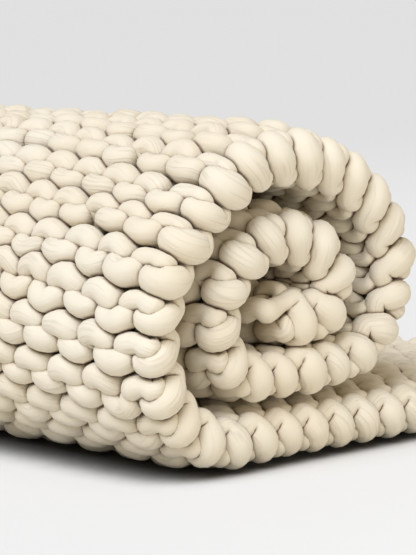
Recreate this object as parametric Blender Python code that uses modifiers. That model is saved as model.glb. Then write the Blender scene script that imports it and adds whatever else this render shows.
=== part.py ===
"""A chunky hand-knitted weighted blanket, rolled up loosely and lying on its own tail.

The blanket is one garter-stitch cloth of thick stuffed tube yarn. It is modelled as a closed
slab that follows the wound section of the roll. The garter ridges, the rounded selvages with
one scallop to each ridge, and the flat underside are raised in the slab's own points.

Metres, +Z up. X runs across the roll, with the loose tail towards +X. Y runs along the roll.
The origin is the centre of the bounding box at floor level.
"""

import math
from typing import NamedTuple

import bpy
import bmesh
from mathutils import Vector

# The cloth
STITCHES = 26                     # stitches across the cloth, along the roll
STITCH_WIDTH = 0.0465
RIDGES = 50                       # garter ridges along the cloth, each two rows of knitting
EDGE_LOOP = 0.0055                # how far the selvage loops stand out past the last stitch
RIDGE_HEIGHT = 0.003              # rise of a ridge above the mean face

WIDTH = STITCHES * STITCH_WIDTH + 2 * EDGE_LOOP

# The rounding of the selvages and of the two row ends
ROUNDING = 0.018                  # width of the rounded edge
EDGE_PINCH = 0.42                 # thickness left at the very edge, as a share of the whole
SHOULDER_INSET = 0.4              # place of the rounding's middle line, as a share of its width
SHOULDER_PINCH = 0.84             # thickness at that line
SCALLOP = 0.005                   # depth of the dips between the selvage's scallops

# The rows lie a little askew to the roll in its outer turns, and true in its core
SKEW = 0.09                       # metres along the cloth for each metre along the roll
SKEW_FADE_START = 1.05            # distance from the tail's end where the skew starts to fade

# The mesh
STEPS_PER_RIDGE = 4
INNER_COLUMNS = 4                 # columns between the two rounded selvages
PRESSED_FLAT = 0.0075             # what lies lower than this is pressed flat on the floor

YARN_COLOUR = (0.87, 0.80, 0.67, 1.0)
YARN_ROUGHNESS = 0.85


class Bend(NamedTuple):
    """One stretch of the wound section: an arc, with the cloth's thickness at its end."""

    name: str
    length: float
    turn: float                   # degrees, clockwise as seen from -Y
    thickness: float


TAIL_THICKNESS = 0.058
ROLL = (
    Bend("tail on the floor", 0.500, 0.0, 0.058),
    Bend("left foot", 0.142, 80.0, 0.062),
    Bend("left side", 0.122, 54.0, 0.064),
    Bend("left shoulder", 0.066, 7.0, 0.065),
    Bend("top", 0.060, 30.0, 0.065),
    Bend("right shoulder", 0.193, 65.0, 0.063),
    Bend("right foot", 0.168, 116.0, 0.056),
    Bend("second run", 0.124, 13.0, 0.053),
    Bend("inner left turn", 0.078, 90.0, 0.053),
    Bend("inner top", 0.190, 130.0, 0.053),
    Bend("inner right turn", 0.070, 120.0, 0.044),
    Bend("core", 0.058, 60.0, 0.032),
)
LENGTH = sum(bend.length for bend in ROLL)


class Station(NamedTuple):
    """A place on the wound section."""

    point: Vector
    outward: Vector               # unit normal on the cloth's outer face
    thickness: float


def wind(distance):
    """Return the station at a distance from the tail's end along the roll's centre line."""
    point = Vector((0.0, TAIL_THICKNESS / 2))
    heading = math.pi
    thickness = TAIL_THICKNESS
    left = distance
    for bend in ROLL:
        run = min(left, bend.length)
        turned = math.radians(bend.turn) * run / bend.length
        chord = run if turned == 0.0 else run * math.sin(turned / 2) / (turned / 2)
        middle = heading - turned / 2
        point = point + chord * Vector((math.cos(middle), math.sin(middle)))
        heading -= turned
        thickness += (bend.thickness - thickness) * run / bend.length
        left -= run
        if left <= 0.0:
            break
    return Station(point, Vector((-math.sin(heading), math.cos(heading))), thickness)


def smooth_step(low, high, value):
    """Return 0 below low, 1 above high, and an S curve between them."""
    share = min(max((value - low) / (high - low), 0.0), 1.0)
    return share * share * (3 - 2 * share)


def rounded(inset):
    """Return the share of the thickness left at an inset from an edge of the cloth."""
    middle = ROUNDING * SHOULDER_INSET
    if inset >= ROUNDING:
        return 1.0
    if inset >= middle:
        return SHOULDER_PINCH + (1 - SHOULDER_PINCH) * (inset - middle) / (ROUNDING - middle)
    return EDGE_PINCH + (SHOULDER_PINCH - EDGE_PINCH) * inset / middle


def column_insets():
    """Return the columns' distances from the near selvage, close together at the edges."""
    edge = [0.0, ROUNDING * SHOULDER_INSET, ROUNDING]
    pitch = (WIDTH - 2 * ROUNDING) / (INNER_COLUMNS + 1)
    inner = [ROUNDING + pitch * (index + 1) for index in range(INNER_COLUMNS)]
    return edge + inner + [WIDTH - inset for inset in reversed(edge)]


def ring_distances():
    """Return the rings' distances from the tail's end: even, with a rounded row at each end."""
    count = RIDGES * STEPS_PER_RIDGE
    even = [LENGTH * index / count for index in range(1, count)]
    shoulder = ROUNDING * SHOULDER_INSET
    inner = [d for d in even if ROUNDING < d < LENGTH - ROUNDING]
    return [0.0, shoulder, ROUNDING] + inner + [LENGTH - ROUNDING, LENGTH - shoulder, LENGTH]


def lay(distance, inset, side):
    """Return the point of the cloth at a distance, an inset and a side (+1 outer, -1 inner)."""
    fade = 1 - smooth_step(SKEW_FADE_START, LENGTH, distance)
    station = wind(distance + SKEW * inset * fade)
    ridge = math.cos(math.tau * distance * RIDGES / LENGTH)
    pinch = rounded(min(inset, WIDTH - inset)) * rounded(min(distance, LENGTH - distance))
    half = (station.thickness / 2 - RIDGE_HEIGHT) * pinch
    offset = side * half + RIDGE_HEIGHT * ridge * pinch
    spot = station.point + station.outward * offset

    edge = 1 - smooth_step(0.0, ROUNDING, min(inset, WIDTH - inset))
    dip = SCALLOP * edge * (1 - ridge) / 2
    along = inset + dip if inset < WIDTH / 2 else inset - dip

    height = 0.0 if spot.y < PRESSED_FLAT else spot.y
    return Vector((spot.x, along, height))


def flat_cloth():
    """Return a unit grid made into a closed slab, with a ring or column for each index."""
    rings, columns = len(ring_distances()), len(column_insets())
    mesh = bpy.data.meshes.new("cloth_cage")
    grid = bmesh.new()
    bmesh.ops.create_grid(grid, x_segments=rings - 1, y_segments=columns - 1, size=0.5)
    for vert in grid.verts:
        vert.co.x = round((vert.co.x + 0.5) * (rings - 1))
        vert.co.y = round((vert.co.y + 0.5) * (columns - 1))
    grid.to_mesh(mesh)
    grid.free()

    cage = bpy.data.objects.new("cloth_cage", mesh)
    bpy.context.scene.collection.objects.link(cage)
    slab = cage.modifiers.new("slab", "SOLIDIFY")
    slab.thickness = 1.0
    slab.offset = 0.0
    graph = bpy.context.evaluated_depsgraph_get()
    solid = bpy.data.meshes.new_from_object(cage.evaluated_get(graph))
    bpy.data.objects.remove(cage)
    return solid


def roll_up(mesh):
    """Move each point of the flat slab to its place in the roll."""
    distances, insets = ring_distances(), column_insets()
    for vert in mesh.vertices:
        ring, column = round(vert.co.x), round(vert.co.y)
        vert.co = lay(distances[ring], insets[column], 1 if vert.co.z > 0 else -1)


def centre(mesh):
    """Shift the mesh so that its bounding box is centred on the origin in X and Y."""
    for axis in (0, 1):
        values = [vert.co[axis] for vert in mesh.vertices]
        middle = (min(values) + max(values)) / 2
        for vert in mesh.vertices:
            vert.co[axis] -= middle


def face_outward(mesh):
    """Turn all faces to point out of the solid."""
    shell = bmesh.new()
    shell.from_mesh(mesh)
    bmesh.ops.recalc_face_normals(shell, faces=shell.faces)
    shell.to_mesh(mesh)
    shell.free()


def yarn_material():
    """Return the cream jersey of the stuffed tube."""
    material = bpy.data.materials.new("cream_jersey")
    material.use_nodes = True
    shader = material.node_tree.nodes["Principled BSDF"]
    shader.inputs["Base Color"].default_value = YARN_COLOUR
    shader.inputs["Roughness"].default_value = YARN_ROUGHNESS
    shader.inputs["Metallic"].default_value = 0.0
    return material


def knitted_cloth(collection):
    """Model the blanket and put it in the collection."""
    mesh = flat_cloth()
    mesh.name = "knitted_cloth"
    roll_up(mesh)
    centre(mesh)
    face_outward(mesh)
    mesh.materials.append(yarn_material())
    mesh.shade_smooth()
    cloth = bpy.data.objects.new("knitted_cloth", mesh)
    collection.objects.link(cloth)
    return cloth


def main():
    """Clear the scene and build the rolled blanket."""
    for old in list(bpy.data.objects):
        bpy.data.objects.remove(old)
    collection = bpy.data.collections.new("weighted_blanket")
    bpy.context.scene.collection.children.link(collection)
    knitted_cloth(collection)


if __name__ == "__main__":
    main()
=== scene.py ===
"""Looks of a rolled chunky-knit weighted blanket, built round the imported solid.

The blanket is knitted in garter stitch from one length of thick stuffed jersey tube. The script
lays that length out stitch by stitch on the flat cloth, winds the cloth into its roll, lets the
loops settle against each other, and sweeps the soft tube along them, pressed flat wherever two
loops meet. The roll lies on a pale floor in soft studio light.

Metres, +Z up. X runs across the roll, with the loose tail towards +X. Y runs along the roll.
"""

import logging
import math
from dataclasses import dataclass, field
from enum import Enum
from typing import NamedTuple

import bpy
import numpy as np
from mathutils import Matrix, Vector
from mathutils.kdtree import KDTree


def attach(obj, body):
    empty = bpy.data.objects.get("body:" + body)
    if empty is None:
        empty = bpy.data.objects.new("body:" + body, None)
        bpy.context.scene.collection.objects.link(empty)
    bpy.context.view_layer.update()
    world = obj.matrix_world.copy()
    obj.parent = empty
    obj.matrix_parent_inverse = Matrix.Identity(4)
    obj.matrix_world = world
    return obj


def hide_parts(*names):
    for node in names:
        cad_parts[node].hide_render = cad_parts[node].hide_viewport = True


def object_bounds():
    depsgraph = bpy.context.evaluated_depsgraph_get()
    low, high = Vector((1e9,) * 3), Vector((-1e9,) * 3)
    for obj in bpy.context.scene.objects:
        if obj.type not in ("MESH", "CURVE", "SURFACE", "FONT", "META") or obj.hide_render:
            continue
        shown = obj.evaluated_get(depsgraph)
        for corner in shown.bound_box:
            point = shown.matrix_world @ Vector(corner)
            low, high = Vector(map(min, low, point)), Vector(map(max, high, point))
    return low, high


LOG = logging.getLogger("blanket")

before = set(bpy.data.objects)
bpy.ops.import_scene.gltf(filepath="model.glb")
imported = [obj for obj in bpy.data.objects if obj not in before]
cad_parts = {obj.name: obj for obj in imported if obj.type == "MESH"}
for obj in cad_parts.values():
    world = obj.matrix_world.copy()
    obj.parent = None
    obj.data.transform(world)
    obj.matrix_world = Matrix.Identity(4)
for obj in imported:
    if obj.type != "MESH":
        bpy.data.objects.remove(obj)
CAD_LOW, CAD_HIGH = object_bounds()

NODE = "knitted_cloth"

TINY = 1e-6  # keeps a division from meeting zero

Points = np.ndarray
Pair = tuple[float, float]
Triple = tuple[float, float, float]
Colour = tuple[float, float, float, float]


# ---- The wound section ----


class Bend(NamedTuple):
    """One stretch of the wound section: an arc, with the cloth's thickness at its end."""

    name: str
    length: float
    turn: float  # degrees, clockwise as seen from -Y
    thickness: float


TAIL_THICKNESS = 0.058
ROLL = (
    Bend("tail on the floor", 0.500, 0.0, 0.058),
    Bend("left foot", 0.142, 80.0, 0.062),
    Bend("left side", 0.122, 54.0, 0.064),
    Bend("left shoulder", 0.066, 7.0, 0.065),
    Bend("top", 0.060, 30.0, 0.065),
    Bend("right shoulder", 0.193, 65.0, 0.063),
    Bend("right foot", 0.168, 116.0, 0.056),
    Bend("second run", 0.124, 13.0, 0.053),
    Bend("inner left turn", 0.078, 90.0, 0.056),
    Bend("inner top", 0.190, 130.0, 0.064),
    Bend("inner right turn", 0.070, 120.0, 0.066),
    Bend("core", 0.100, 110.0, 0.058),
)


def smooth_step(low: float, high: float, value: Points) -> Points:
    """Return 0 below low, 1 above high, and an S curve between them."""
    share = np.clip((value - low) / (high - low), 0.0, 1.0)
    return share * share * (3 - 2 * share)


class Course(NamedTuple):
    """A stretch of the strand on the flat cloth: a row, a turn or the whole."""

    along: Points  # distance from the tail's end
    inset: Points  # distance from the near selvage
    lift: Points  # from -1 at the inner loops to +1 at the outer ones
    plump: Points  # share of the yarn's full radius


@dataclass
class Winding:
    """The roll's section, and the way from the flat cloth to its place in the roll."""

    skew: float = 0.09  # metres along the cloth for each metre along the roll
    skew_fade_start: float = 1.05  # distance from the tail's end where the skew starts to fade
    step: float = 0.001
    curve_reach: float = 0.025  # the curve is read over this far to each side
    sag: float = 0.025  # share of its height that the roll loses further along
    sag_reach: float = 0.55
    near_end: float = CAD_LOW.y
    tail_end: float = CAD_HIGH.x
    length: float = field(init=False)

    def __post_init__(self) -> None:
        """Trace the section from the tail's end to the core."""
        self.length = sum(bend.length for bend in ROLL)
        count = round(self.length / self.step)
        self._along = np.arange(count + 1) * self.step
        bounds = np.cumsum([0.0] + [bend.length for bend in ROLL])
        turns = np.cumsum([0.0] + [math.radians(bend.turn) for bend in ROLL])
        thick = [TAIL_THICKNESS] + [bend.thickness for bend in ROLL]
        self._heading = math.pi - np.interp(self._along, bounds, turns)
        self._thickness = np.interp(self._along, bounds, thick)
        middle = (self._heading[1:] + self._heading[:-1]) / 2
        moves = np.stack([np.cos(middle), np.sin(middle)], 1) * self.step
        start = np.array([[self.tail_end, TAIL_THICKNESS / 2]])
        self._centre = np.concatenate([start, start + np.cumsum(moves, 0)])

    def unskewed(self, laid: Course) -> Points:
        """Return the places on the roll's centre line of points of the flat cloth."""
        fade = 1 - smooth_step(self.skew_fade_start, self.length, laid.along)
        return laid.along + self.skew * laid.inset * fade

    def stretch(self, laid: Course) -> Points:
        """Work out how much the cloth's own curve lengthens or shortens it at its faces.

        Args:
            laid: the strand on the flat cloth.

        Returns:
            The lengths there, as shares of the length at the cloth's middle.
        """
        spot = self.unskewed(laid)
        behind, ahead = (np.interp(spot + reach, self._along, self._heading)
                         for reach in (-self.curve_reach, self.curve_reach))
        thickness = np.interp(spot, self._along, self._thickness)
        curve = (behind - ahead) / (2 * self.curve_reach)
        return 1 + laid.lift * thickness / 2 * curve

    def place(self, laid: Course, radius: float) -> Points:
        """Wind the strand into the roll.

        Args:
            laid: the strand on the flat cloth.
            radius: the yarn's radius, which keeps the loops' surface inside the cloth.

        Returns:
            The strand's points in the frame.
        """
        spot = self.unskewed(laid)
        inside = np.clip(spot, 0.0, self.length)
        heading, thickness, *centre = (
            np.interp(inside, self._along, values)
            for values in (self._heading, self._thickness, *self._centre.T))
        forward = np.stack([np.cos(heading), np.sin(heading)], 1)
        outward = forward[:, ::-1] * (-1, 1)
        spot = np.stack(centre, 1) + forward * (spot - inside)[:, None]
        spot = spot + outward * (laid.lift * (thickness / 2 - radius))[:, None]
        sunk = 1 - self.sag * smooth_step(0, self.sag_reach, laid.inset)
        return np.stack([spot[:, 0], self.near_end + laid.inset, spot[:, 1] * sunk], 1)


# ---- The yarn ----


def between(values: Points, place: Points) -> Points:
    """Read values between their points, in straight lines.

    Args:
        values: a value or a row of values for each point.
        place: point numbers with fractions.

    Returns:
        The values there.
    """
    low = np.minimum(place.astype(int), len(values) - 2)
    share = (place - low).reshape((-1,) + (1,) * (values.ndim - 1))
    return values[low] * (1 - share) + values[low + 1] * share


def curve_through(points: Points, place: Points) -> Points:
    """Read a smooth curve through points.

    Args:
        points: the curve's points.
        place: point numbers with fractions.

    Returns:
        The curve's points there.
    """
    last = len(points) - 1
    low = np.minimum(place.astype(int), last - 1)
    share = (place - low)[:, None]
    before, start, end, after = (points[np.clip(low + k, 0, last)] for k in (-1, 0, 1, 2))
    bow = 2 * before - 5 * start + 4 * end - after
    twist = 3 * (start - end) + after - before
    return start + share * ((end - before) + share * (bow + share * twist)) / 2


def unit(vectors: Points) -> Points:
    """Return vectors in rows at length 1."""
    return vectors / np.linalg.norm(vectors, axis=1)[:, None]


def softened(values: Points) -> Points:
    """Return all but the first and last of a row of values, each blended with its neighbours."""
    return (values[:-2] + 2 * values[1:-1] + values[2:]) / 4


def path_length(points: Points) -> Points:
    """Return each point's distance along the strand."""
    return np.concatenate([[0], np.cumsum(np.linalg.norm(np.diff(points, axis=0), axis=1))])


def near_pairs(points: Points, reach: float, own_reach: int) -> tuple[Points, Points]:
    """Find the pairs of points on different stretches of the strand that lie near.

    Args:
        points: the strand's points.
        reach: how near they lie.
        own_reach: how many points further along still count as the same stretch.

    Returns:
        The numbers of the one and of the other point of each pair, each pair both ways round.
    """
    tree = KDTree(len(points))
    for number, point in enumerate(points):
        tree.insert(point, number)
    tree.balance()
    here, there = [], []
    for number, point in enumerate(points):
        for _, other, _ in tree.find_range(point, reach):
            if abs(other - number) > own_reach:
                here.append(number)
                there.append(other)
    return np.array(here), np.array(there)


@dataclass
class GarterCloth:
    """The flat garter-stitch cloth: one strand, row after row, turned at each selvage."""

    stitches: int = 26
    stitch_width: float = 0.0465
    ridges: int = 50
    edge_loop: float = 0.0055  # how far the selvage stands out past the last stitch
    first_row: int = 2
    samples: int = 28  # points to a stitch

    loop_reach: float = 0.0200  # how far a loop's head lies from its row's middle
    loop_bulge: float = 0.0078  # how far a head is wider than its neck
    edge_bulge: float = 0.0065  # the same near a selvage
    plateau: float = 0.20  # how flat the heads and feet lie on the cloth's faces
    end_reach: float = 0.6  # reach of the loose heads of the first and last row
    end_share: float = 0.85
    leg_share: float = 0.47  # the yarn's share of its radius inside the cloth
    drawn_in_until: float = 0.2
    full_from: float = 0.95

    turn_samples: int = 11
    turn_plumpness: float = 1.40
    end_phase: float = 0.27 * math.pi  # where in its first stitch a row starts
    turn_bulge: float = 0.009
    turn_dip: float = 0.005
    turn_start: float = 0.78
    turn_depth: float = 1.08
    turn_tuck: float = 0.6
    turn_overlap: float = 0.2
    turn_rounding: int = 6
    turn_share: float = 0.88
    turn_reach: int = 7  # points to each side of a turn's ends

    leg_middle: float = 0.95 * math.pi
    leg_spread: float = 0.22 * math.pi
    first_leg_out: float = 0.008
    first_leg_jitter: float = 0.25
    first_head_sunk: float = 0.38
    last_leg_in: float = 0.003
    edge_leg_share: float = 0.80

    stitch_jitter: float = 0.0030
    row_jitter: float = 0.0022
    reach_jitter: float = 0.10
    calm_edge: float = 1.4  # stitches from a selvage that lie more evenly
    seed: int = 8

    @property
    def width(self) -> float:
        """Width of the cloth between its selvages."""
        return self.stitches * self.stitch_width + 2 * self.edge_loop

    def outward(self, inset: float) -> int:
        """Return which way a selvage near an inset faces: -1 near, +1 far."""
        return 1 if inset > self.width / 2 else -1

    def lay_out(self, length: float) -> Course:
        """Lay the whole strand out on the flat cloth.

        Args:
            length: the cloth's length.

        Returns:
            The strand.
        """
        rng = np.random.default_rng(self.seed)
        numbers = range(self.first_row, 2 * self.ridges - self.first_row + 1)
        drift = rng.normal(0, self.stitch_jitter, (len(numbers) + 2, self.stitches + 1))
        drift = (drift[:-2] + drift[1:-1] + drift[2:]) / math.sqrt(3)
        height = length / (2 * self.ridges)
        return self._join([self._row(rng, number, height, shifts)
                           for number, shifts in zip(numbers, drift)])

    def _row(self, rng: np.random.Generator, number: int, height: float,
             shifts: Points) -> Course:
        """Lay out one row of knitting.

        Args:
            rng: the source of its unevenness.
            number: its number on the cloth.
            height: the height of a row.
            shifts: how far its stitches lie to the side.

        Returns:
            The row, in the order that it is knitted.
        """
        count = self.stitches * self.samples
        phase = np.linspace(self.end_phase, math.tau * self.stitches - self.end_phase, count)
        stitch = phase / math.tau
        free = smooth_step(0, self.calm_edge, np.minimum(stitch, self.stitches - stitch))
        knots = np.arange(self.stitches + 1)
        stretch = 1 + rng.normal(0, self.reach_jitter, len(knots))
        stretch = 1 + (np.interp(stitch, knots, stretch) - 1) * free
        slide = np.interp(stitch, knots, rng.normal(0, self.row_jitter, len(knots))) * free
        swell = self.first_leg_out * (1 + self.first_leg_jitter * rng.uniform(-1, 1))

        is_first = number == self.first_row
        is_last = number == 2 * self.ridges - self.first_row
        head = -np.cos(phase)
        loose = (head < 0) & is_first | (head > 0) & is_last
        head = np.where(loose, self.end_reach * head, head)
        bulge = self.edge_bulge + (self.loop_bulge - self.edge_bulge) * free
        shift = np.interp(stitch, knots, shifts) * free
        inset = self.edge_loop + stitch * self.stitch_width + shift + bulge * np.sin(2 * phase)
        along = (number - 0.5) * height + slide + self.loop_reach * stretch * head
        side = 1 if number % 2 == 0 else -1
        lift = side * (-(1 + self.plateau) * np.cos(phase) + self.plateau * np.cos(3 * phase))
        plump = self.plumpness(lift)
        if is_first or is_last:
            plump = np.maximum(plump, self.end_share)
        row = Course(along, inset, lift, plump)
        if number % 2:
            row = Course(*(values[::-1] for values in row))
        return self._dress_edge_stitches(row, phase, swell)

    def _dress_edge_stitches(self, row: Course, phase: Points, swell: float) -> Course:
        """Let a row's first leg swell out over the selvage and draw its last leg in.

        Args:
            row: the row.
            phase: the phase along it, from its first stitch.
            swell: how far the first leg swells out.

        Returns:
            The dressed row.
        """
        outward = self.outward(row.inset[0])
        first, last = (np.exp(-(((spot - self.leg_middle) / self.leg_spread) ** 2))
                       for spot in (phase, phase[::-1]))
        inset = row.inset + outward * (swell * first + self.last_leg_in * last)
        plump = row.plump + (self.edge_leg_share - row.plump) * np.maximum(first, last)
        lift = row.lift * (1 - self.first_head_sunk * first)
        return Course(row.along, inset, lift, plump)

    def plumpness(self, lift: Points) -> Points:
        """Return the yarn's share of its full radius: drawn in where it passes through."""
        face = smooth_step(self.drawn_in_until, self.full_from, np.abs(lift))
        return self.leg_share + (1 - self.leg_share) * face

    def _turn(self, before: Course, after: Course) -> Course:
        """Lay out the hairpin between a row and the next.

        Args:
            before: the row that it leaves.
            after: the row that it leads to.

        Returns:
            The turn.
        """
        share = (np.arange(self.turn_samples) + 1) / (self.turn_samples + 1)
        ease = smooth_step(0, 1, share)
        hump = np.sin(math.pi * share)
        tuck = 1 - self.turn_tuck * (1 - ease)
        sweep = np.cos(math.pi * (share * (1 + 2 * self.turn_overlap) - self.turn_overlap))
        inset = before.inset[-1] + (after.inset[0] - before.inset[-1]) * ease
        inset = inset + self.outward(before.inset[-1]) * self.turn_bulge * hump * tuck
        along = before.along[-1] + (after.along[0] - before.along[-1]) * ease
        along = along - self.turn_dip * hump
        depth = self.turn_start + (self.turn_depth - self.turn_start) * ease
        lift = np.sign(before.lift[-1]) * depth * sweep
        return Course(along, inset, lift, 1 + (self.turn_plumpness - 1) * hump)

    def _join(self, rows: list[Course]) -> Course:
        """Join the rows with the turns at the selvages, and round the places where they meet.

        Args:
            rows: the rows, in order.

        Returns:
            The strand.
        """
        turns = [self._turn(before, after) for before, after in zip(rows, rows[1:])]
        parts = [part for pair in zip(rows, turns) for part in pair] + rows[-1:]
        along, inset, lift, plump = (np.concatenate(values) for values in zip(*parts))
        near = self._near_turns([len(part.inset) for part in parts])
        for values in (along, inset, lift):
            for _ in range(self.turn_rounding):
                values[1:-1] += (softened(values) - values[1:-1]) * near[1:-1]
        return Course(along, inset, lift, np.maximum(plump, self.turn_share * near))

    def _near_turns(self, sizes: list[int]) -> Points:
        """Work out how near each point is to where a row meets a turn.

        Args:
            sizes: the numbers of points of the rows and turns, in order.

        Returns:
            For each point 1 there, falling to 0 further off.
        """
        number = np.arange(sum(sizes))
        near = np.zeros(len(number))
        for joint in np.cumsum(sizes)[:-1]:
            spot = slice(max(joint - 2 * self.turn_reach, 0), joint + 2 * self.turn_reach)
            bell = np.exp(-(((number[spot] - joint) / self.turn_reach) ** 2))
            near[spot] = np.maximum(near[spot], bell)
        return near


@dataclass
class Settling:
    """Lets the loops push each other apart until the knit lies as thick yarn does."""

    contact: float = 0.55  # distance kept, as a share of the two radii
    search: float = 0.026
    own_reach: int = 6
    rounds: int = 24
    search_every: int = 12
    push: float = 0.32
    stiffness: float = 0.12
    anchor: float = 0.10  # pull back towards the place it was laid in
    floor_clearance: float = 0.0105
    rounding: int = 4

    def settle(self, points: Points, girth: Points) -> Points:
        """Settle the strand.

        Args:
            points: the strand's points as laid out.
            girth: the yarn's radius at each point.

        Returns:
            The settled points.
        """
        for _ in range(self.rounding):
            points[1:-1] = softened(points)
        home = points.copy()
        count = len(points)
        rest = np.linalg.norm(np.diff(points, axis=0), axis=1)
        for turn in range(self.rounds):
            if turn % self.search_every == 0:
                low, high = near_pairs(points, self.search, self.own_reach)
                low, high = low[high > low], high[high > low]
                reach = self.contact * (girth[low] + girth[high])
            apart = points[high] - points[low]
            gap = np.linalg.norm(apart, axis=1)
            short = np.maximum(reach - gap, 0.0)
            move = apart * (self.push * 0.5 * short / np.maximum(gap, TINY))[:, None]
            for axis in range(3):
                points[:, axis] += np.bincount(high, move[:, axis], count)
                points[:, axis] -= np.bincount(low, move[:, axis], count)
            for start in (0, 1):
                left, right = points[start:-1:2], points[start + 1 :: 2]
                span = right - left
                long = np.linalg.norm(span, axis=1)
                fix = span * (0.5 * (1 - rest[start::2] / long))[:, None]
                left += fix
                right -= fix
            middle = (points[:-2] + points[2:]) / 2
            points[1:-1] += (middle - points[1:-1]) * self.stiffness
            points += (home - points) * self.anchor
            points[:, 2] = np.maximum(points[:, 2], self.floor_clearance)
        return points


class Detail(Enum):
    """How finely a stretch of the tube is made: the most turn and length between two rings.

    A ring of each further level has half as many sides as one of the level before.
    """

    CLOSE = (math.radians(22), 0.016)
    PLAIN = (math.radians(48), 0.030)
    HIDDEN = (math.radians(90), 0.060)

    @property
    def level(self) -> int:
        """Return the level's number, from the finest."""
        return list(Detail).index(self)


class Sweep(NamedTuple):
    """The rings swept along the strand, first to last."""

    surface: Points  # by ring and side
    press: Points  # share of the radius that is pressed in, by ring and side
    level: Points  # the level of each ring's Detail
    distance: Points  # each ring's distance along the strand


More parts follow.
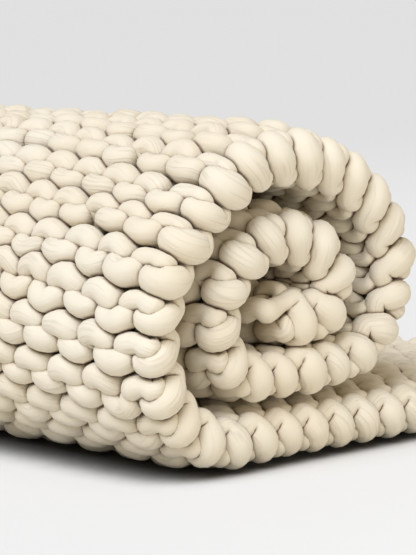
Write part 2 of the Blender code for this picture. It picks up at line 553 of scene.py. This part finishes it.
@dataclass
class SoftTube:
    """The stuffed jersey tube swept along the settled strand."""

    radius: float = 0.0117
    radius_drift: float = 0.07
    drift_length: float = 0.055
    gap: float = 0.0002  # left between the walls of two loops that meet
    thinnest: float = 0.0048  # the nearest that a wall comes to the strand
    hardness: float = 20.0  # how sharply the tube turns at what presses on it
    pinch: float = 0.92  # share of a bend's radius that the tube fills
    sides: int = 16
    refine: int = 4  # steps to a point of the strand
    search: float = 0.029
    own_reach: int = 5
    seed: int = 11
    slightest_bend: float = 1e-3

    def frames(self, points: Points) -> tuple[Points, Points]:
        """Carry a frame along the strand without twist.

        Args:
            points: the strand's points.

        Returns:
            The tangent and a unit vector across the strand at each point.
        """
        ahead = unit(np.gradient(points, axis=0))
        across = np.empty_like(ahead)
        across[:1] = unit(np.cross(ahead[:1], (0.0, 0.0, 1.0)))
        turn = ahead[:-1] + ahead[1:]
        turn_size = np.maximum((turn * turn).sum(1), TINY**2)
        last = across[0]
        for number in range(1, len(points)):
            slip = turn[number - 1]
            moved = last - slip * (2.0 * float(last @ slip) / turn_size[number - 1])
            moved = moved - ahead[number] * float(moved @ ahead[number])
            last = moved / math.sqrt(float(moved @ moved))
            across[number] = last
        return ahead, across

    def girth(self, points: Points, plump: Points) -> Points:
        """Work out the tube's own radius along the strand, a little uneven.

        Args:
            points: the strand's points as laid out.
            plump: the share of the full radius at each point.

        Returns:
            The radius at each point.
        """
        rng = np.random.default_rng(self.seed)
        distance = path_length(points)
        knots = np.arange(0, distance[-1] + self.drift_length, self.drift_length)
        drift = np.interp(distance, knots, rng.normal(0, self.radius_drift, len(knots)))
        return self.radius * (1 + drift) * plump

    def walls(self, points: Points, girth: Points) -> tuple[Points, Points, Points]:
        """Find the planes where other loops press on each point's cross-section.

        Args:
            points: the strand's points.
            girth: the tube's own radius at each point.

        Returns:
            For each wall: the number of its point, its unit normal and its distance.
        """
        here, there = near_pairs(points, self.search, self.own_reach)
        last = len(points) - 1
        before, best, after = (
            np.linalg.norm(points[np.clip(there + step, 0, last)] - points[here], axis=1)
            for step in (-1, 0, 1))
        nearest = (best <= before) & (best < after)
        here, there, best = here[nearest], there[nearest], best[nearest]
        start, spot = points[here], points[there]
        foot = spot.copy()
        for step in (-1, 1):
            span = points[np.clip(there + step, 0, last)] - spot
            size = np.maximum((span * span).sum(1), TINY**2)
            share = np.clip(((start - spot) * span).sum(1) / size, 0, 1)
            trial = spot + span * share[:, None]
            far = np.linalg.norm(trial - start, axis=1)
            foot[far < best] = trial[far < best]
            best = np.minimum(best, far)
        normal = (foot - start) / np.maximum(best, TINY)[:, None]
        share = girth[here] / (girth[here] + girth[there])
        return here, normal, best * share - self.gap

    def bends(self, points: Points) -> tuple[Points, Points, Points]:
        """Find the walls that the tube's own bends make on their inner sides.

        Args:
            points: the strand's points.

        Returns:
            For each wall: the number of its point, its unit normal and its distance.
        """
        first, second = points[1:-1] - points[:-2], points[2:] - points[1:-1]
        size = (np.linalg.norm(first, axis=1) + np.linalg.norm(second, axis=1)) / 2
        curve = unit(second) - unit(first)
        amount = np.linalg.norm(curve, axis=1)
        tight = amount > self.slightest_bend
        normal = curve[tight] / amount[tight][:, None]
        return np.flatnonzero(tight) + 1, normal, self.pinch * size[tight] / amount[tight]

    def pressing(self, points: Points, girth: Points, ahead: Points, across: Points) -> Points:
        """Work out how each cross-section gives way to what presses on it.

        Args:
            points: the strand's points.
            girth: the tube's own radius at each point.
            ahead: the tangent at each point.
            across: a unit vector across the strand at each point.

        Returns:
            The share of the radius left at each side of each cross-section.
        """
        found = zip(self.walls(points, girth), self.bends(points))
        here, normal, wall = (np.concatenate(values) for values in found)
        wall = np.maximum(wall, self.thinnest)
        beside = np.cross(ahead, across)
        total = np.zeros((len(points), self.sides))
        for side in range(self.sides):
            angle = math.tau * side / self.sides
            facing = (math.cos(angle) * (across[here] * normal).sum(1)
                      + math.sin(angle) * (beside[here] * normal).sum(1))
            force = (np.maximum(facing, 0) * girth[here] / wall) ** self.hardness
            total[:, side] = np.bincount(here, force, len(points))
        share = (1 + total) ** (-1 / self.hardness)
        share[1:-1] = softened(share)
        return (np.roll(share, 1, 1) + 2 * share + np.roll(share, -1, 1)) / 4

    def stations(self, points: Points, detail: Points) -> Points:
        """Choose where rings stand: close together in bends and where the loops are seen.

        Args:
            points: the strand's points.
            detail: the level of the Detail at each point.

        Returns:
            The rings' places, as point numbers with fractions.
        """
        place = np.arange((len(points) - 1) * self.refine + 1) / self.refine
        spot = curve_through(points, place)
        span = np.diff(spot, axis=0)
        length = np.linalg.norm(span, axis=1)
        ahead = span / length[:, None]
        bend = np.arccos(np.clip((ahead[:-1] * ahead[1:]).sum(1), -1, 1))
        limits = np.array([choice.value for choice in Detail])[detail[place.astype(int)]]
        share = bend / limits[1:-1, 0] + length[1:] / limits[1:-1, 1]
        total = np.concatenate([[0], np.cumsum(np.append(share, share[-1]))])
        wanted = np.linspace(0, total[-1], math.ceil(total[-1]) + 1)
        return np.interp(wanted, total, place)

    def sweep(self, points: Points, girth: Points, detail: Points) -> Sweep:
        """Sweep the tube along the strand.

        Args:
            points: the strand's points.
            girth: the tube's own radius at each point.
            detail: the level of the Detail at each point.

        Returns:
            The rings.
        """
        ahead, across = self.frames(points)
        share = self.pressing(points, girth, ahead, across)
        LOG.info("pressed")
        place = self.stations(points, detail)
        centre = curve_through(points, place)
        ahead, across, share, radius, distance = (
            between(values, place)
            for values in (ahead, across, share, girth, path_length(points)))
        ahead = unit(ahead)
        across = unit(across - ahead * (ahead * across).sum(1)[:, None])
        beside = np.cross(ahead, across)
        angle = math.tau * np.arange(self.sides) / self.sides
        way = (across[:, None] * np.cos(angle)[None, :, None]
               + beside[:, None] * np.sin(angle)[None, :, None])
        surface = centre[:, None] + way * (radius[:, None] * share)[:, :, None]
        surface[:, :, 2] = np.maximum(surface[:, :, 2], 0.0)
        level = detail[np.rint(place).astype(int)]
        level[1:] = np.minimum(level[1:], level[:-1] + 1)
        level[:-1] = np.minimum(level[:-1], level[1:] + 1)
        return Sweep(surface, 1 - share, level, distance)


Corner = tuple[int, int]


@dataclass
class TubeMesh:
    """Joins the rings of one stretch of the strand into a closed tube with its maps."""

    sweep: Sweep
    sides: int
    girth: float  # all round
    strip_share: float = 0.94  # how much of each strip of the map is filled

    def __post_init__(self) -> None:
        """Number the points of each ring, fewer on the rings of a higher level."""
        self._steps = 1 << self.sweep.level
        counts = self.sides // self._steps
        self._starts = np.concatenate([[0], np.cumsum(counts)])[:-1]
        self._last = len(counts) - 1

    def _band(self, ring: int) -> list[tuple[Corner, ...]]:
        """Join a ring and the next.

        Args:
            ring: the ring's number.

        Returns:
            The faces between them, as corners of ring and side.
        """
        here, after = int(self._steps[ring]), int(self._steps[ring + 1])
        wide = max(here, after)
        spots = range(0, self.sides, wide)
        if here == after:
            return [((ring, s), (ring + 1, s), (ring + 1, s + wide), (ring, s + wide))
                    for s in spots]
        wider, closer = (ring, ring + 1) if here > after else (ring + 1, ring)
        faces = []
        for s in spots:
            middle, end = s + wide // 2, s + wide
            faces += [((wider, s), (closer, s), (closer, middle)),
                      ((wider, s), (closer, middle), (wider, end)),
                      ((wider, end), (closer, middle), (closer, end))]
        return faces if wider == ring else [face[::-1] for face in faces]

    def _caps(self) -> list[tuple[Corner, ...]]:
        """Return the faces that close the two ends."""
        first, last = (tuple((ring, s) for s in range(0, self.sides, int(self._steps[ring])))
                       for ring in (0, self._last))
        return [first, last[::-1]]

    def _strips(self, ring: Points, side: Points, lowest: Points) -> Points:
        """Lay the tube out as a stack of equal strips for baking.

        Args:
            ring: the ring of each face corner.
            side: its side.
            lowest: the lowest ring of its face.

        Returns:
            The map's points.
        """
        distance = self.sweep.distance - self.sweep.distance[0]
        count = round(math.sqrt(distance[-1] / self.girth))
        strip = np.minimum((distance[lowest] * count / distance[-1]).astype(int), count - 1)
        overlap = np.diff(distance).max()
        span = distance[-1] / count + overlap
        across = (distance[ring] - strip * distance[-1] / count) / span
        return np.stack([across, (strip + side / self.sides * self.strip_share) / count], 1)

    def build(self, name: str) -> bpy.types.Mesh:
        """Build the mesh.

        Args:
            name: the mesh's name.

        Returns:
            The mesh.
        """
        faces = [face for ring in range(self._last) for face in self._band(ring)] + self._caps()
        corners = np.array([corner for face in faces for corner in face])
        ring, side = corners[:, 0], corners[:, 1]
        number = self._starts[ring] + (side % self.sides) // self._steps[ring]
        sizes = np.array([len(face) for face in faces])
        ends = np.cumsum(sizes)
        lowest = np.repeat(np.minimum.reduceat(ring, ends - sizes), sizes)

        rings = [np.arange(0, self.sides, step) for step in self._steps]
        points = np.concatenate([s[k] for s, k in zip(self.sweep.surface, rings)])
        press = np.concatenate([s[k] for s, k in zip(self.sweep.press, rings)])
        polygons = [part.tolist() for part in np.split(number, ends[:-1])]
        mesh = bpy.data.meshes.new(name)
        mesh.from_pydata(points.tolist(), [], polygons)
        mark = mesh.attributes.new("press", "FLOAT", "POINT")
        mark.data.foreach_set("value", press.astype(np.float32))
        distance = self.sweep.distance[ring] - self.sweep.distance[0]
        maps = {"OFBake": self._strips(ring, side, lowest),
                "yarn": np.stack([distance, side / self.sides * self.girth], 1)}
        for label, spots in maps.items():
            layer = mesh.uv_layers.new(name=label)
            layer.data.foreach_set("uv", spots.astype(np.float32).ravel())
        mesh.shade_smooth()
        return mesh


# ---- Materials ----


class Socket:
    """A shader socket that maths can be written with."""

    def __init__(self, tree: "NodeTree", output: bpy.types.NodeSocket) -> None:
        """Wrap an output socket of a node in the tree."""
        self.tree = tree
        self.output = output

    def _maths(self, operation: str, *values: object) -> "Socket":
        """Add a Math node over the values."""
        return self.tree.node("ShaderNodeMath", {"operation": operation}, list(values))

    def __add__(self, other: object) -> "Socket":
        """Add."""
        return self._maths("ADD", self, other)

    __radd__ = __add__

    def __sub__(self, other: object) -> "Socket":
        """Subtract."""
        return self._maths("SUBTRACT", self, other)

    def __rsub__(self, other: object) -> "Socket":
        """Subtract from a number."""
        return self._maths("SUBTRACT", other, self)

    def __mul__(self, other: object) -> "Socket":
        """Multiply."""
        return self._maths("MULTIPLY", self, other)

    __rmul__ = __mul__

    def __abs__(self) -> "Socket":
        """Take the size without the sign."""
        return self._maths("ABSOLUTE", self)

    def ramp(self, low: float, high: float) -> "Socket":
        """Rise smoothly from 0 at low to 1 at high."""
        settings = {"interpolation_type": "SMOOTHSTEP"}
        return self.tree.node("ShaderNodeMapRange", settings,
                              {"Value": self, "From Min": low, "From Max": high})


class NodeTree:
    """A material's nodes."""

    def __init__(self, name: str) -> None:
        """Make the material and keep its shader at hand.

        Args:
            name: the material's name.
        """
        self.material = bpy.data.materials.new(name)
        self.material.use_nodes = True
        self.shader = self.material.node_tree.nodes["Principled BSDF"]

    def node(self, kind: str, settings: dict[str, object], inputs: object,
             output: int | str = 0) -> Socket:
        """Add a node.

        Args:
            kind: the node's type.
            settings: its properties, set before its sockets.
            inputs: values or sockets, by name or in order.
            output: which output to return.

        Returns:
            The output, wrapped.
        """
        node = self.material.node_tree.nodes.new(kind)
        for key, value in settings.items():
            setattr(node, key, value)
        pairs = inputs.items() if isinstance(inputs, dict) else enumerate(inputs)
        for key, value in pairs:
            self.feed(node.inputs[key], value)
        return Socket(self, node.outputs[output])

    def feed(self, socket: bpy.types.NodeSocket, value: object) -> None:
        """Link a socket to a wrapped output, or set its own value."""
        if isinstance(value, Socket):
            self.material.node_tree.links.new(value.output, socket)
        else:
            socket.default_value = value

    def noise(self, place: Socket, scale: float, detail: float = 2.0) -> Socket:
        """Return noise from 0 to 1 at a scale."""
        return self.node("ShaderNodeTexNoise", {},
                         {"Vector": place, "Scale": scale, "Detail": detail})

    def folds(self, place: Socket, scale: Triple, width: float) -> Socket:
        """Draw thin uneven lines, 1 along each and 0 off them.

        Args:
            place: the vector that the lines are drawn in.
            scale: how close they are by axis.
            width: their width, as a share of the noise's range.

        Returns:
            The lines.
        """
        level = self.noise(self.stretch(place, scale), scale=1.0, detail=1.5)
        return 1 - abs(level - 0.5).ramp(0.0, width)

    def stretch(self, place: Socket, scale: Triple) -> Socket:
        """Scale a vector by axis."""
        return self.node("ShaderNodeVectorMath", {"operation": "MULTIPLY"}, [place, scale])

    def mix(self, share: object, first: object, second: object) -> Socket:
        """Mix two colours."""
        return self.node("ShaderNodeMix", {"data_type": "RGBA"},
                         {0: share, 6: first, 7: second}, 2)

    def closed_in(self, reach: float, samples: int) -> Socket:
        """Return how far the surface is closed in by what lies within reach, from 0 to 1."""
        return 1 - self.node("ShaderNodeAmbientOcclusion", {"samples": samples},
                             {"Distance": reach}, "AO")


@dataclass(frozen=True)
class CreamJersey:
    """Matt cream cotton jersey over a soft filling, with shade painted into its colour in its
    creases and along its folds and puckers.
    """

    colour: Colour = (0.745, 0.660, 0.500, 1.0)
    warm: Colour = (0.73, 0.632, 0.460, 1.0)
    warm_scale: float = 9.0
    warm_ramp: Pair = (0.35, 0.65)

    # Painted shade: this dark colour is mixed into the base colour where ambient occlusion finds
    # the creases between loops, and along the drawn lines and puckers.
    painted_shade: Colour = (0.24, 0.16, 0.09, 1.0)
    crease_reach: float = 0.005
    crease_samples: int = 6
    crease_ramp: Pair = (0.20, 0.70)
    crease_shade_share: float = 0.95

    patch_scale: float = 22.0  # the patches where lengthwise lines are drawn
    patch_ramp: Pair = (0.42, 0.62)
    drawn_scale: Triple = (11.0, 130.0, 1.0)
    drawn_width: float = 0.05
    # How dark the painted shade along the drawn fold lines is.
    drawn_shade_share: float = 0.16
    drawn_depth: float = 0.20

    pinched_ramp: Pair = (0.05, 0.25)  # how far the tube is pressed where it puckers
    pucker_scale: Triple = (60.0, 260.0, 1.0)
    pucker_width: float = 0.08
    # How dark the painted shade along the puckers is.
    pucker_shade_share: float = 0.6
    pucker_depth: float = 0.9

    swell_scale: Triple = (30.0, 90.0, 1.0)
    swell_height: float = 1.2
    rib_scale: Triple = (60.0, 1500.0, 1.0)
    rib_height: float = 0.08
    bump_distance: float = 0.0012
    bump_strength: float = 0.8

    roughness: float = 0.86
    patch_polish: float = 0.05
    sheen: float = 0.15
    sheen_roughness: float = 0.5
    specular: float = 0.25

    def material(self) -> bpy.types.Material:
        """Build the material.

        Returns:
            The material.
        """
        tree = NodeTree("cream_jersey")
        yarn = tree.node("ShaderNodeUVMap", {"uv_map": "yarn"}, {})
        place = tree.node("ShaderNodeTexCoord", {}, {}, "Object")
        press = tree.node("ShaderNodeAttribute", {"attribute_name": "press"}, {}, "Fac")

        patches = tree.noise(place, self.patch_scale).ramp(*self.patch_ramp)
        drawn = tree.folds(yarn, self.drawn_scale, self.drawn_width) * patches
        pinched = press.ramp(*self.pinched_ramp)
        puckers = tree.folds(yarn, self.pucker_scale, self.pucker_width) * pinched
        swell = tree.noise(tree.stretch(yarn, self.swell_scale), scale=1.0)
        rib = tree.noise(tree.stretch(yarn, self.rib_scale), scale=1.0, detail=1.0)
        warmth = tree.noise(place, self.warm_scale).ramp(*self.warm_ramp)
        # Painted shade in the creases, from ambient occlusion within crease_reach.
        painted_crease_shade = tree.closed_in(self.crease_reach, self.crease_samples).ramp(*self.crease_ramp)

        body = tree.mix(warmth, self.colour, self.warm)
        # Painted shade along the drawn fold lines and the puckers.
        body = tree.mix(drawn * self.drawn_shade_share + puckers * self.pucker_shade_share, body, self.painted_shade)
        # Painted shade deep in the creases between loops.
        body = tree.mix(painted_crease_shade * self.crease_shade_share, body, self.painted_shade)
        height = (swell * self.swell_height + rib * self.rib_height
                  - drawn * self.drawn_depth - puckers * self.pucker_depth)
        bump = tree.node("ShaderNodeBump", {},
                         {"Height": height, "Distance": self.bump_distance,
                          "Strength": self.bump_strength})
        finish = {"Base Color": body, "Normal": bump,
                  "Roughness": self.roughness - self.patch_polish * patches,
                  "Sheen Weight": self.sheen, "Sheen Roughness": self.sheen_roughness,
                  "Specular IOR Level": self.specular}
        for name, value in finish.items():
            tree.feed(tree.shader.inputs[name], value)
        return tree.material


# ---- The blanket ----


def add_object(name: str, data: bpy.types.ID, back: Vector | None = None) -> bpy.types.Object:
    """Add an object to the scene.

    Args:
        name: its name.
        data: its mesh, light or camera.
        back: the direction that it looks or shines away from, if it has one.

    Returns:
        The object.
    """
    item = bpy.data.objects.new(name, data)
    bpy.context.scene.collection.objects.link(item)
    if back is not None:
        item.rotation_mode = "QUATERNION"
        item.rotation_quaternion = back.to_track_quat("Z", "Y")
    return item


@dataclass
class RolledBlanket:
    """The knitted cloth in its roll, in a few pieces that follow each other along the strand."""

    cloth: GarterCloth = field(default_factory=GarterCloth)
    settling: Settling = field(default_factory=Settling)
    tube: SoftTube = field(default_factory=SoftTube)
    finish: CreamJersey = field(default_factory=CreamJersey)
    yarn_radius: float = 0.0110
    stretch_power: float = 0.55  # how far the yarn's girth follows the cloth's stretch
    least_stretch: float = 0.80
    most_stretch: float = 1.3

    outer_face_end: float = 1.20  # how far along the cloth its outer face is seen
    tail_face_end: float = 0.42
    edge_stitches: float = 1.6
    hollow_stitches: float = 2.6  # how deep the roll's open end is seen into
    hollow_lift: float = 0.3
    end_rows: float = 0.05
    close_until: float = 0.49  # the inset and distance where the nearest loops lie
    close_from: float = 0.42
    piece_triangles: int = 180_000
    fill: float = 0.55

    def detail(self, laid: Course) -> Points:
        """Choose the detail of each point: where it can be seen, and from how near.

        Args:
            laid: the strand on the flat cloth.

        Returns:
            The level of the Detail at each point.
        """
        along, inset, lift, _ = laid
        from_edge = np.minimum(inset, self.cloth.width - inset) / self.cloth.stitch_width
        outer = (along < self.outer_face_end) & (lift > 0)
        tail = (along < self.tail_face_end) & (lift < 0)
        hollow = (from_edge < self.hollow_stitches) & (np.abs(lift) > self.hollow_lift)
        seen = outer | tail | hollow | (from_edge < self.edge_stitches) | (along < self.end_rows)
        turned = (along > self.close_from) | (lift < 0) | hollow
        close = seen & turned & (inset < self.close_until)
        return np.where(close, Detail.CLOSE.level,
                        np.where(seen, Detail.PLAIN.level, Detail.HIDDEN.level))

    def cuts(self, level: Points) -> list[tuple[int, int]]:
        """Divide the strand, away from its nearest loops, into equal counts of triangles.

        Args:
            level: the level of the Detail of each ring.

        Returns:
            The first and the last ring of each piece.
        """
        total = np.cumsum(2 * self.tube.sides >> level)
        count = math.ceil(total[-1] / self.piece_triangles)
        far = np.flatnonzero(level > Detail.CLOSE.level)
        wanted = [int(np.searchsorted(total, total[-1] * k / count)) for k in range(1, count)]
        marks = [int(far[np.abs(far - ring).argmin()]) for ring in wanted]
        ends = [0, *marks, len(level) - 1]
        return list(zip(ends[:-1], ends[1:]))

    def build(self) -> None:
        """Build the blanket's pieces."""
        winding = Winding()
        laid = self.cloth.lay_out(winding.length)
        points = winding.place(laid, self.yarn_radius)
        LOG.info("laid out %d points", len(points))
        stretch = np.clip(winding.stretch(laid), self.least_stretch, self.most_stretch)
        girth = self.tube.girth(points, laid.plump * stretch**self.stretch_power)
        points = self.settling.settle(points, girth)
        LOG.info("settled")
        sweep = self.tube.sweep(points, girth, self.detail(laid))
        finish = self.finish.material()
        girth_round = math.tau * self.tube.radius
        for number, (start, end) in enumerate(self.cuts(sweep.level), 1):
            name = f"knit_strand_{number:02d}"
            part = Sweep(*(values[start : end + 1] for values in sweep))
            mesh = TubeMesh(part, self.tube.sides, girth_round).build(name)
            mesh.materials.append(finish)
            piece = add_object(name, mesh)
            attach(piece, "root")
            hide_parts(NODE)
            LOG.info("%s: %d faces", name, len(mesh.polygons))


# ---- The studio ----


@dataclass
class Studio:
    """A pale floor, soft light and the camera."""

    focal: float = 187.3
    azimuth: float = math.radians(-44.4)
    elevation: float = math.radians(7.8)
    corner_from_tail: float = 0.500  # where the roll's near foot stands
    distance: float = 2.74
    right_of_axis: float = 0.0351
    below_axis: float = 0.1865

    floor_size: float = 60.0
    # Painted shade: the floor's colour fades from the near colour to the darker far one with
    # distance from the middle, standing in for the light falling off away from the roll.
    floor_near: Colour = (0.765, 0.744, 0.686, 1.0)
    floor_far_painted_shade: Colour = (0.676, 0.659, 0.602, 1.0)
    floor_shade_fade: Pair = (0.9, 3.4)  # from here to there its colour fades
    floor_roughness: float = 0.9
    # Painted contact shadow: this near-black colour is mixed into the floor where ambient
    # occlusion finds the blanket within contact_reach.
    contact: Colour = (0.02, 0.018, 0.015, 1.0)
    contact_reach: float = 0.07
    contact_samples: int = 8
    contact_ramp: Pair = (0.25, 0.85)
    contact_shadow_share: float = 0.9

    key_direction: Triple = (-0.60, -0.20, 0.78)
    key_strength: float = 2.84
    key_softness: float = 0.8
    key_colour: Triple = (0.895, 0.985, 1.21)
    fill_place: Triple = (-0.10, -1.75, 0.22)
    fill_target: Triple = (-0.05, -0.61, 0.08)
    fill_size: float = 0.6
    fill_power: float = 3.0
    fill_colour: Triple = (1.0, 0.96, 0.90)
    world_strength: float = 0.49
    world_colour: Colour = (1.0, 0.938, 0.83, 1.0)

    def camera(self) -> None:
        """Place the camera by the roll's near foot."""
        back = Vector((math.sin(self.azimuth) * math.cos(self.elevation),
                       -math.cos(self.azimuth) * math.cos(self.elevation),
                       math.sin(self.elevation)))
        right = Vector((math.cos(self.azimuth), math.sin(self.azimuth), 0.0))
        up = back.cross(right)
        corner = Vector((CAD_HIGH.x - self.corner_from_tail, CAD_LOW.y, 0.0))
        data = bpy.data.cameras.new("camera")
        data.lens = self.focal
        camera = add_object("camera", data, back)
        camera.location = (corner + back * self.distance - right * self.right_of_axis
                           + up * self.below_axis)
        bpy.context.scene.camera = camera

    def floor(self) -> None:
        """Lay the pale floor, with a shadow painted into its colour where the blanket lies on it
        or close over it, and shade painted further off.
        """
        tree = NodeTree("pale_floor")
        place = tree.node("ShaderNodeTexCoord", {}, {}, "Object")
        away = tree.node("ShaderNodeVectorMath", {"operation": "LENGTH"}, [place], "Value")
        # Painted shade: darker further from the middle of the floor.
        colour = tree.mix(away.ramp(*self.floor_shade_fade), self.floor_near, self.floor_far_painted_shade)
        # Painted contact shadow under and beside the blanket.
        painted_contact_shadow = tree.closed_in(self.contact_reach, self.contact_samples)
        painted_contact_shadow = painted_contact_shadow.ramp(*self.contact_ramp)
        colour = tree.mix(painted_contact_shadow * self.contact_shadow_share, colour, self.contact)
        tree.feed(tree.shader.inputs["Base Color"], colour)
        tree.feed(tree.shader.inputs["Roughness"], self.floor_roughness)

        half = self.floor_size / 2
        mesh = bpy.data.meshes.new("floor")
        corners = [(-half, -half, 0), (half, -half, 0), (half, half, 0), (-half, half, 0)]
        mesh.from_pydata(corners, [], [(0, 1, 2, 3)])
        mesh.materials.append(tree.material)
        add_object("floor", mesh)

    def lights(self) -> None:
        """Hang the broad key light high up to the left, and stand the low fill in front."""
        key = bpy.data.lights.new("key", "SUN")
        key.energy = self.key_strength
        key.angle = self.key_softness
        key.color = self.key_colour
        add_object("key", key, Vector(self.key_direction))
        fill = bpy.data.lights.new("fill", "AREA")
        fill.energy = self.fill_power
        fill.size = self.fill_size
        fill.color = self.fill_colour
        lamp = add_object("fill", fill, Vector(self.fill_place) - Vector(self.fill_target))
        lamp.location = self.fill_place

    def surroundings(self) -> None:
        """Set the even pale light all round."""
        world = bpy.data.worlds.new("studio")
        world.use_nodes = True
        sky = world.node_tree.nodes["Background"]
        sky.inputs["Color"].default_value = self.world_colour
        sky.inputs["Strength"].default_value = self.world_strength
        bpy.context.scene.world = world
        bpy.context.scene.view_settings.view_transform = "Standard"

    def build(self) -> None:
        """Build the studio."""
        for step in (self.camera, self.floor, self.surroundings, self.lights):
            step()
            LOG.info("studio: %s", step.__name__)


def main() -> None:
    """Build the studio and the blanket."""
    logging.basicConfig(level=logging.INFO, format="%(name)s: %(message)s")
    Studio().build()
    RolledBlanket().build()


if __name__ == "__main__":
    main()
